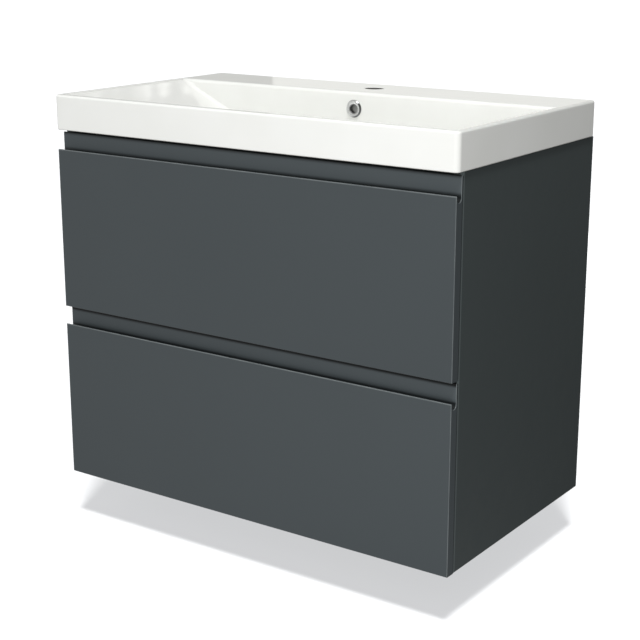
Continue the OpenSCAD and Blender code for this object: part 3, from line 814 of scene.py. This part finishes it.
az, el = math.radians(34.97), math.radians(15.38)
back = Vector((math.sin(az) * math.cos(el), -math.cos(az) * math.cos(el), math.sin(el)))
cam_data = bpy.data.cameras.new("camera")
cam_data.lens, cam_data.sensor_width, cam_data.clip_end = 81.32, 36.0, 200.0
cam = bpy.data.objects.new("camera", cam_data)
cam.location = (1.41907, -2.26665, 0.98308)
cam.rotation_mode = "QUATERNION"
cam.rotation_quaternion = (-back).to_track_quat("-Z", "Y")
scene.collection.objects.link(cam)
scene.camera = cam


# ---------------------------------------------------------------- stage and light

scene.view_settings.view_transform = "Standard"
FLOOR_Z = -0.092
BASE, GRADIENT = 0.34, (-0.11, -0.24, 0.035)                # the studio's light by direction
KEY = (-23.0, 33.0, -92.0)                                  # from the front right, high up


class Tree:
    """The nodes shared by the studio and its floor."""

    def __init__(self, tree):
        self.t = tree
        tree.nodes.clear()

    def node(self, kind, **props):
        n = self.t.nodes.new("ShaderNode" + kind)
        for k, v in props.items():
            setattr(n, k, v)
        return n

    def put(self, socket, value):
        if isinstance(value, bpy.types.NodeSocket):
            self.t.links.new(value, socket)
        else:
            socket.default_value = value

    def math(self, op, *args, clamp=False):
        n = self.node("Math", operation=op, use_clamp=clamp)
        for s, v in zip(n.inputs, args):
            self.put(s, v)
        return n.outputs[0]

    def vmath(self, op, *args):
        n = self.node("VectorMath", operation=op)
        for s, v in zip(n.inputs, args):
            self.put(s, v)
        return n.outputs["Value"] if op in ("DOT_PRODUCT", "DISTANCE") else n.outputs["Vector"]

    def span(self, value, a, b, c=0.0, d=1.0):
        n = self.node("MapRange", clamp=True, interpolation_type="SMOOTHSTEP")
        for s, v in zip(n.inputs, (value, a, b, c, d)):
            self.put(s, v)
        return n.outputs[0]

    def light(self, direction):
        return self.math("MAXIMUM", self.math("ADD", self.vmath("DOT_PRODUCT", direction, GRADIENT), BASE), 0.05)


me = bpy.data.meshes.new("floor")
me.from_pydata([(-30, -30, FLOOR_Z), (30, -30, FLOOR_Z), (30, 30, FLOOR_Z), (-30, 30, FLOOR_Z)], [], [(0, 1, 2, 3)])
floor = bpy.data.objects.new("floor", me)
scene.collection.objects.link(floor)
fm = bpy.data.materials.new("pale_floor")
fm.use_nodes = True
w = Tree(fm.node_tree)
out = w.node("OutputMaterial")
path = w.node("LightPath")
geo = w.node("NewGeometry")
seen = w.node("BsdfDiffuse")
seen.inputs[0].default_value = (0.119, 0.12, 0.121, 1)
glow = w.node("Emission")
glow.inputs[0].default_value = (0.99, 1.0, 1.02, 1)
glow.inputs[1].default_value = 0.590
both = w.node("AddShader")
w.put(both.inputs[0], seen.outputs[0])
w.put(both.inputs[1], glow.outputs[0])
bounce = w.node("Emission")
away = w.vmath("NORMALIZE", w.vmath("SUBTRACT", geo.outputs["Position"], (0.0, -0.23, 0.3)))
xyz = w.node("SeparateXYZ")
w.put(xyz.inputs[0], away)
behind = w.math("MULTIPLY", w.span(xyz.outputs[1], 0.25, 0.75), w.span(xyz.outputs[2], -0.01, -0.06))
behind = w.math("MULTIPLY", w.math("MULTIPLY", behind, w.span(xyz.outputs[0], 0.26, 0.02)), path.outputs["Is Glossy Ray"])
w.put(bounce.inputs[1], w.math("ADD", w.light(away), w.math("MULTIPLY", behind, 0.50)))
pick = w.node("MixShader")
w.put(pick.inputs[0], path.outputs["Is Camera Ray"])
w.put(pick.inputs[1], bounce.outputs[0])
w.put(pick.inputs[2], both.outputs[0])
side = w.node("MixShader")
w.put(side.inputs[0], geo.outputs["Backfacing"])
w.put(side.inputs[1], pick.outputs[0])
w.put(side.inputs[2], w.node("BsdfTransparent").outputs[0])
w.put(out.inputs[0], side.outputs[0])
me.materials.append(fm)


def place(name, data, direction, location=(0, 0, 0)):
    o = bpy.data.objects.new(name, data)
    o.location = location
    o.rotation_mode = "QUATERNION"
    o.rotation_quaternion = Vector(direction).to_track_quat("-Z", "Y")
    scene.collection.objects.link(o)
    return o


def sun(name, irradiance, angle, direction, only=None):
    """irradiance is what a white surface facing it shows, so that 1 is white."""
    d = bpy.data.lights.new(name, "SUN")
    d.energy, d.angle = irradiance * math.pi, math.radians(angle)
    o = place(name, d, direction)
    if only is not None:
        c = bpy.data.collections.new(name + "_receives")
        for r in only:
            c.objects.link(r)
        o.light_linking.receiver_collection = c
    return o


sun("key_softbox", 0.58, 13.0, KEY)
sun("key_on_floor", 3.9, 8.0, (-21.5, 34.0, -92.0), only=[floor])
d = bpy.data.lights.new("front_softbox", "AREA")
d.shape, d.size, d.energy = "SQUARE", 0.9, 16.8
o = place("front_softbox", d, (-1.0, 1.6, -0.55), (1.08, -2.0, 1.08))
o.visible_glossy = False
d = bpy.data.lights.new("low_softbox", "AREA")              # low on the right, and flagged off all but the lower front
d.shape, d.size, d.energy = "SQUARE", 0.4, 0.85
o = place("low_softbox", d, (-0.5, 0.74, 0.03), (0.80, -1.20, 0.12))
o.visible_glossy = False
flagged = bpy.data.collections.new("low_softbox_receives")
flagged.objects.link(lower_front)
o.light_linking.receiver_collection = flagged
d = bpy.data.lights.new("back_softbox", "AREA")
d.shape, d.size, d.energy = "SQUARE", 1.6, 34.0
o = place("back_softbox", d, (0.7, -2.3, -0.25), (-0.7, 2.4, 0.55))
o.visible_glossy = False
d = bpy.data.lights.new("left_softbox", "AREA")
d.shape, d.size, d.energy = "SQUARE", 1.4, 10.0
place("left_softbox", d, (2.4, -0.7, -0.25), (-2.6, 0.5, 0.55))

world = bpy.data.worlds.new("studio")
scene.world = world
world.use_nodes = True
w = Tree(world.node_tree)
out = w.node("OutputWorld")
path = w.node("LightPath")
dirn = w.node("TexCoord").outputs["Generated"]
base = w.light(dirn)
xyz = w.node("SeparateXYZ")
w.put(xyz.inputs[0], dirn)
dx, dy, dz = xyz.outputs
left = w.math("MULTIPLY", w.math("ARCTAN2", w.math("MULTIPLY", dx, -1.0), dy), 180 / math.pi)
low_sky = w.math("MULTIPLY", w.span(dz, -0.03, 0.01), w.span(dz, 0.24, 0.16))
flag = w.math("MULTIPLY", w.math("MULTIPLY", w.span(left, 36.75, 36.90), w.span(left, 62.0, 50.0)), low_sky)
glow_back = w.math("MULTIPLY", w.math("MULTIPLY", w.span(left, 5.0, 25.0), w.span(left, 60.0, 45.0)), low_sky)
# a duller wall high behind the basin, with five small soft patches of light on it
CENTRE = Vector((-0.333, 0.742, 0.583)).normalized()
wall_dusk = w.span(w.vmath("DISTANCE", dirn, CENTRE), 0.16, 0.06)
ripple = w.node("TexNoise")
w.put(ripple.inputs["Vector"], dirn)
w.put(ripple.inputs["Scale"], 210.0)
w.put(ripple.inputs["Detail"], 2.0)
ragged = w.math("MULTIPLY", w.math("SUBTRACT", ripple.outputs[0], 0.5), 0.012)
patches = 0.0
for centre, radius, power in (((-0.3467, 0.7186, 0.6028), 0.0062, 2.0), ((-0.3423, 0.7280, 0.5940), 0.0066, 1.7),
                              ((-0.3333, 0.7406, 0.5834), 0.0080, 1.2), ((-0.3284, 0.7498, 0.5745), 0.0070, 1.2),
                              ((-0.3211, 0.7599, 0.5652), 0.0078, 1.3)):
    away = w.math("ADD", w.vmath("DISTANCE", dirn, Vector(centre).normalized()), ragged)
    patches = w.math("MAXIMUM", patches, w.math("MULTIPLY", w.span(away, radius, radius * 0.35), power))
gloss = w.math("ADD", base, w.math("MULTIPLY", glow_back, 0.61))
gloss = w.math("SUBTRACT", gloss, w.math("MULTIPLY", flag, 0.37))
gloss = w.math("SUBTRACT", gloss, w.math("MULTIPLY", wall_dusk, 0.06))
gloss = w.math("ADD", gloss, w.math("MULTIPLY", patches, 1.25))
level = w.node("Mix", data_type="FLOAT")
w.put(level.inputs[0], path.outputs["Is Glossy Ray"])
w.put(level.inputs[2], base)
w.put(level.inputs[3], gloss)
bg = w.node("Background")
w.put(bg.inputs[1], level.outputs[0])
warm = w.node("Mix", data_type="RGBA")
w.put(warm.inputs[0], path.outputs["Is Glossy Ray"])
warm.inputs[6].default_value, warm.inputs[7].default_value = (1, 1, 1, 1), (1, 1, 0.955, 1)
w.put(bg.inputs[0], warm.outputs[2])
white = w.node("Background")
white.inputs[0].default_value = (1, 1, 1, 1)
white.inputs[1].default_value = 1.0
pick = w.node("MixShader")
w.put(pick.inputs[0], path.outputs["Is Camera Ray"])
w.put(pick.inputs[1], bg.outputs[0])
w.put(pick.inputs[2], white.outputs[0])
w.put(out.inputs[0], pick.outputs[0])
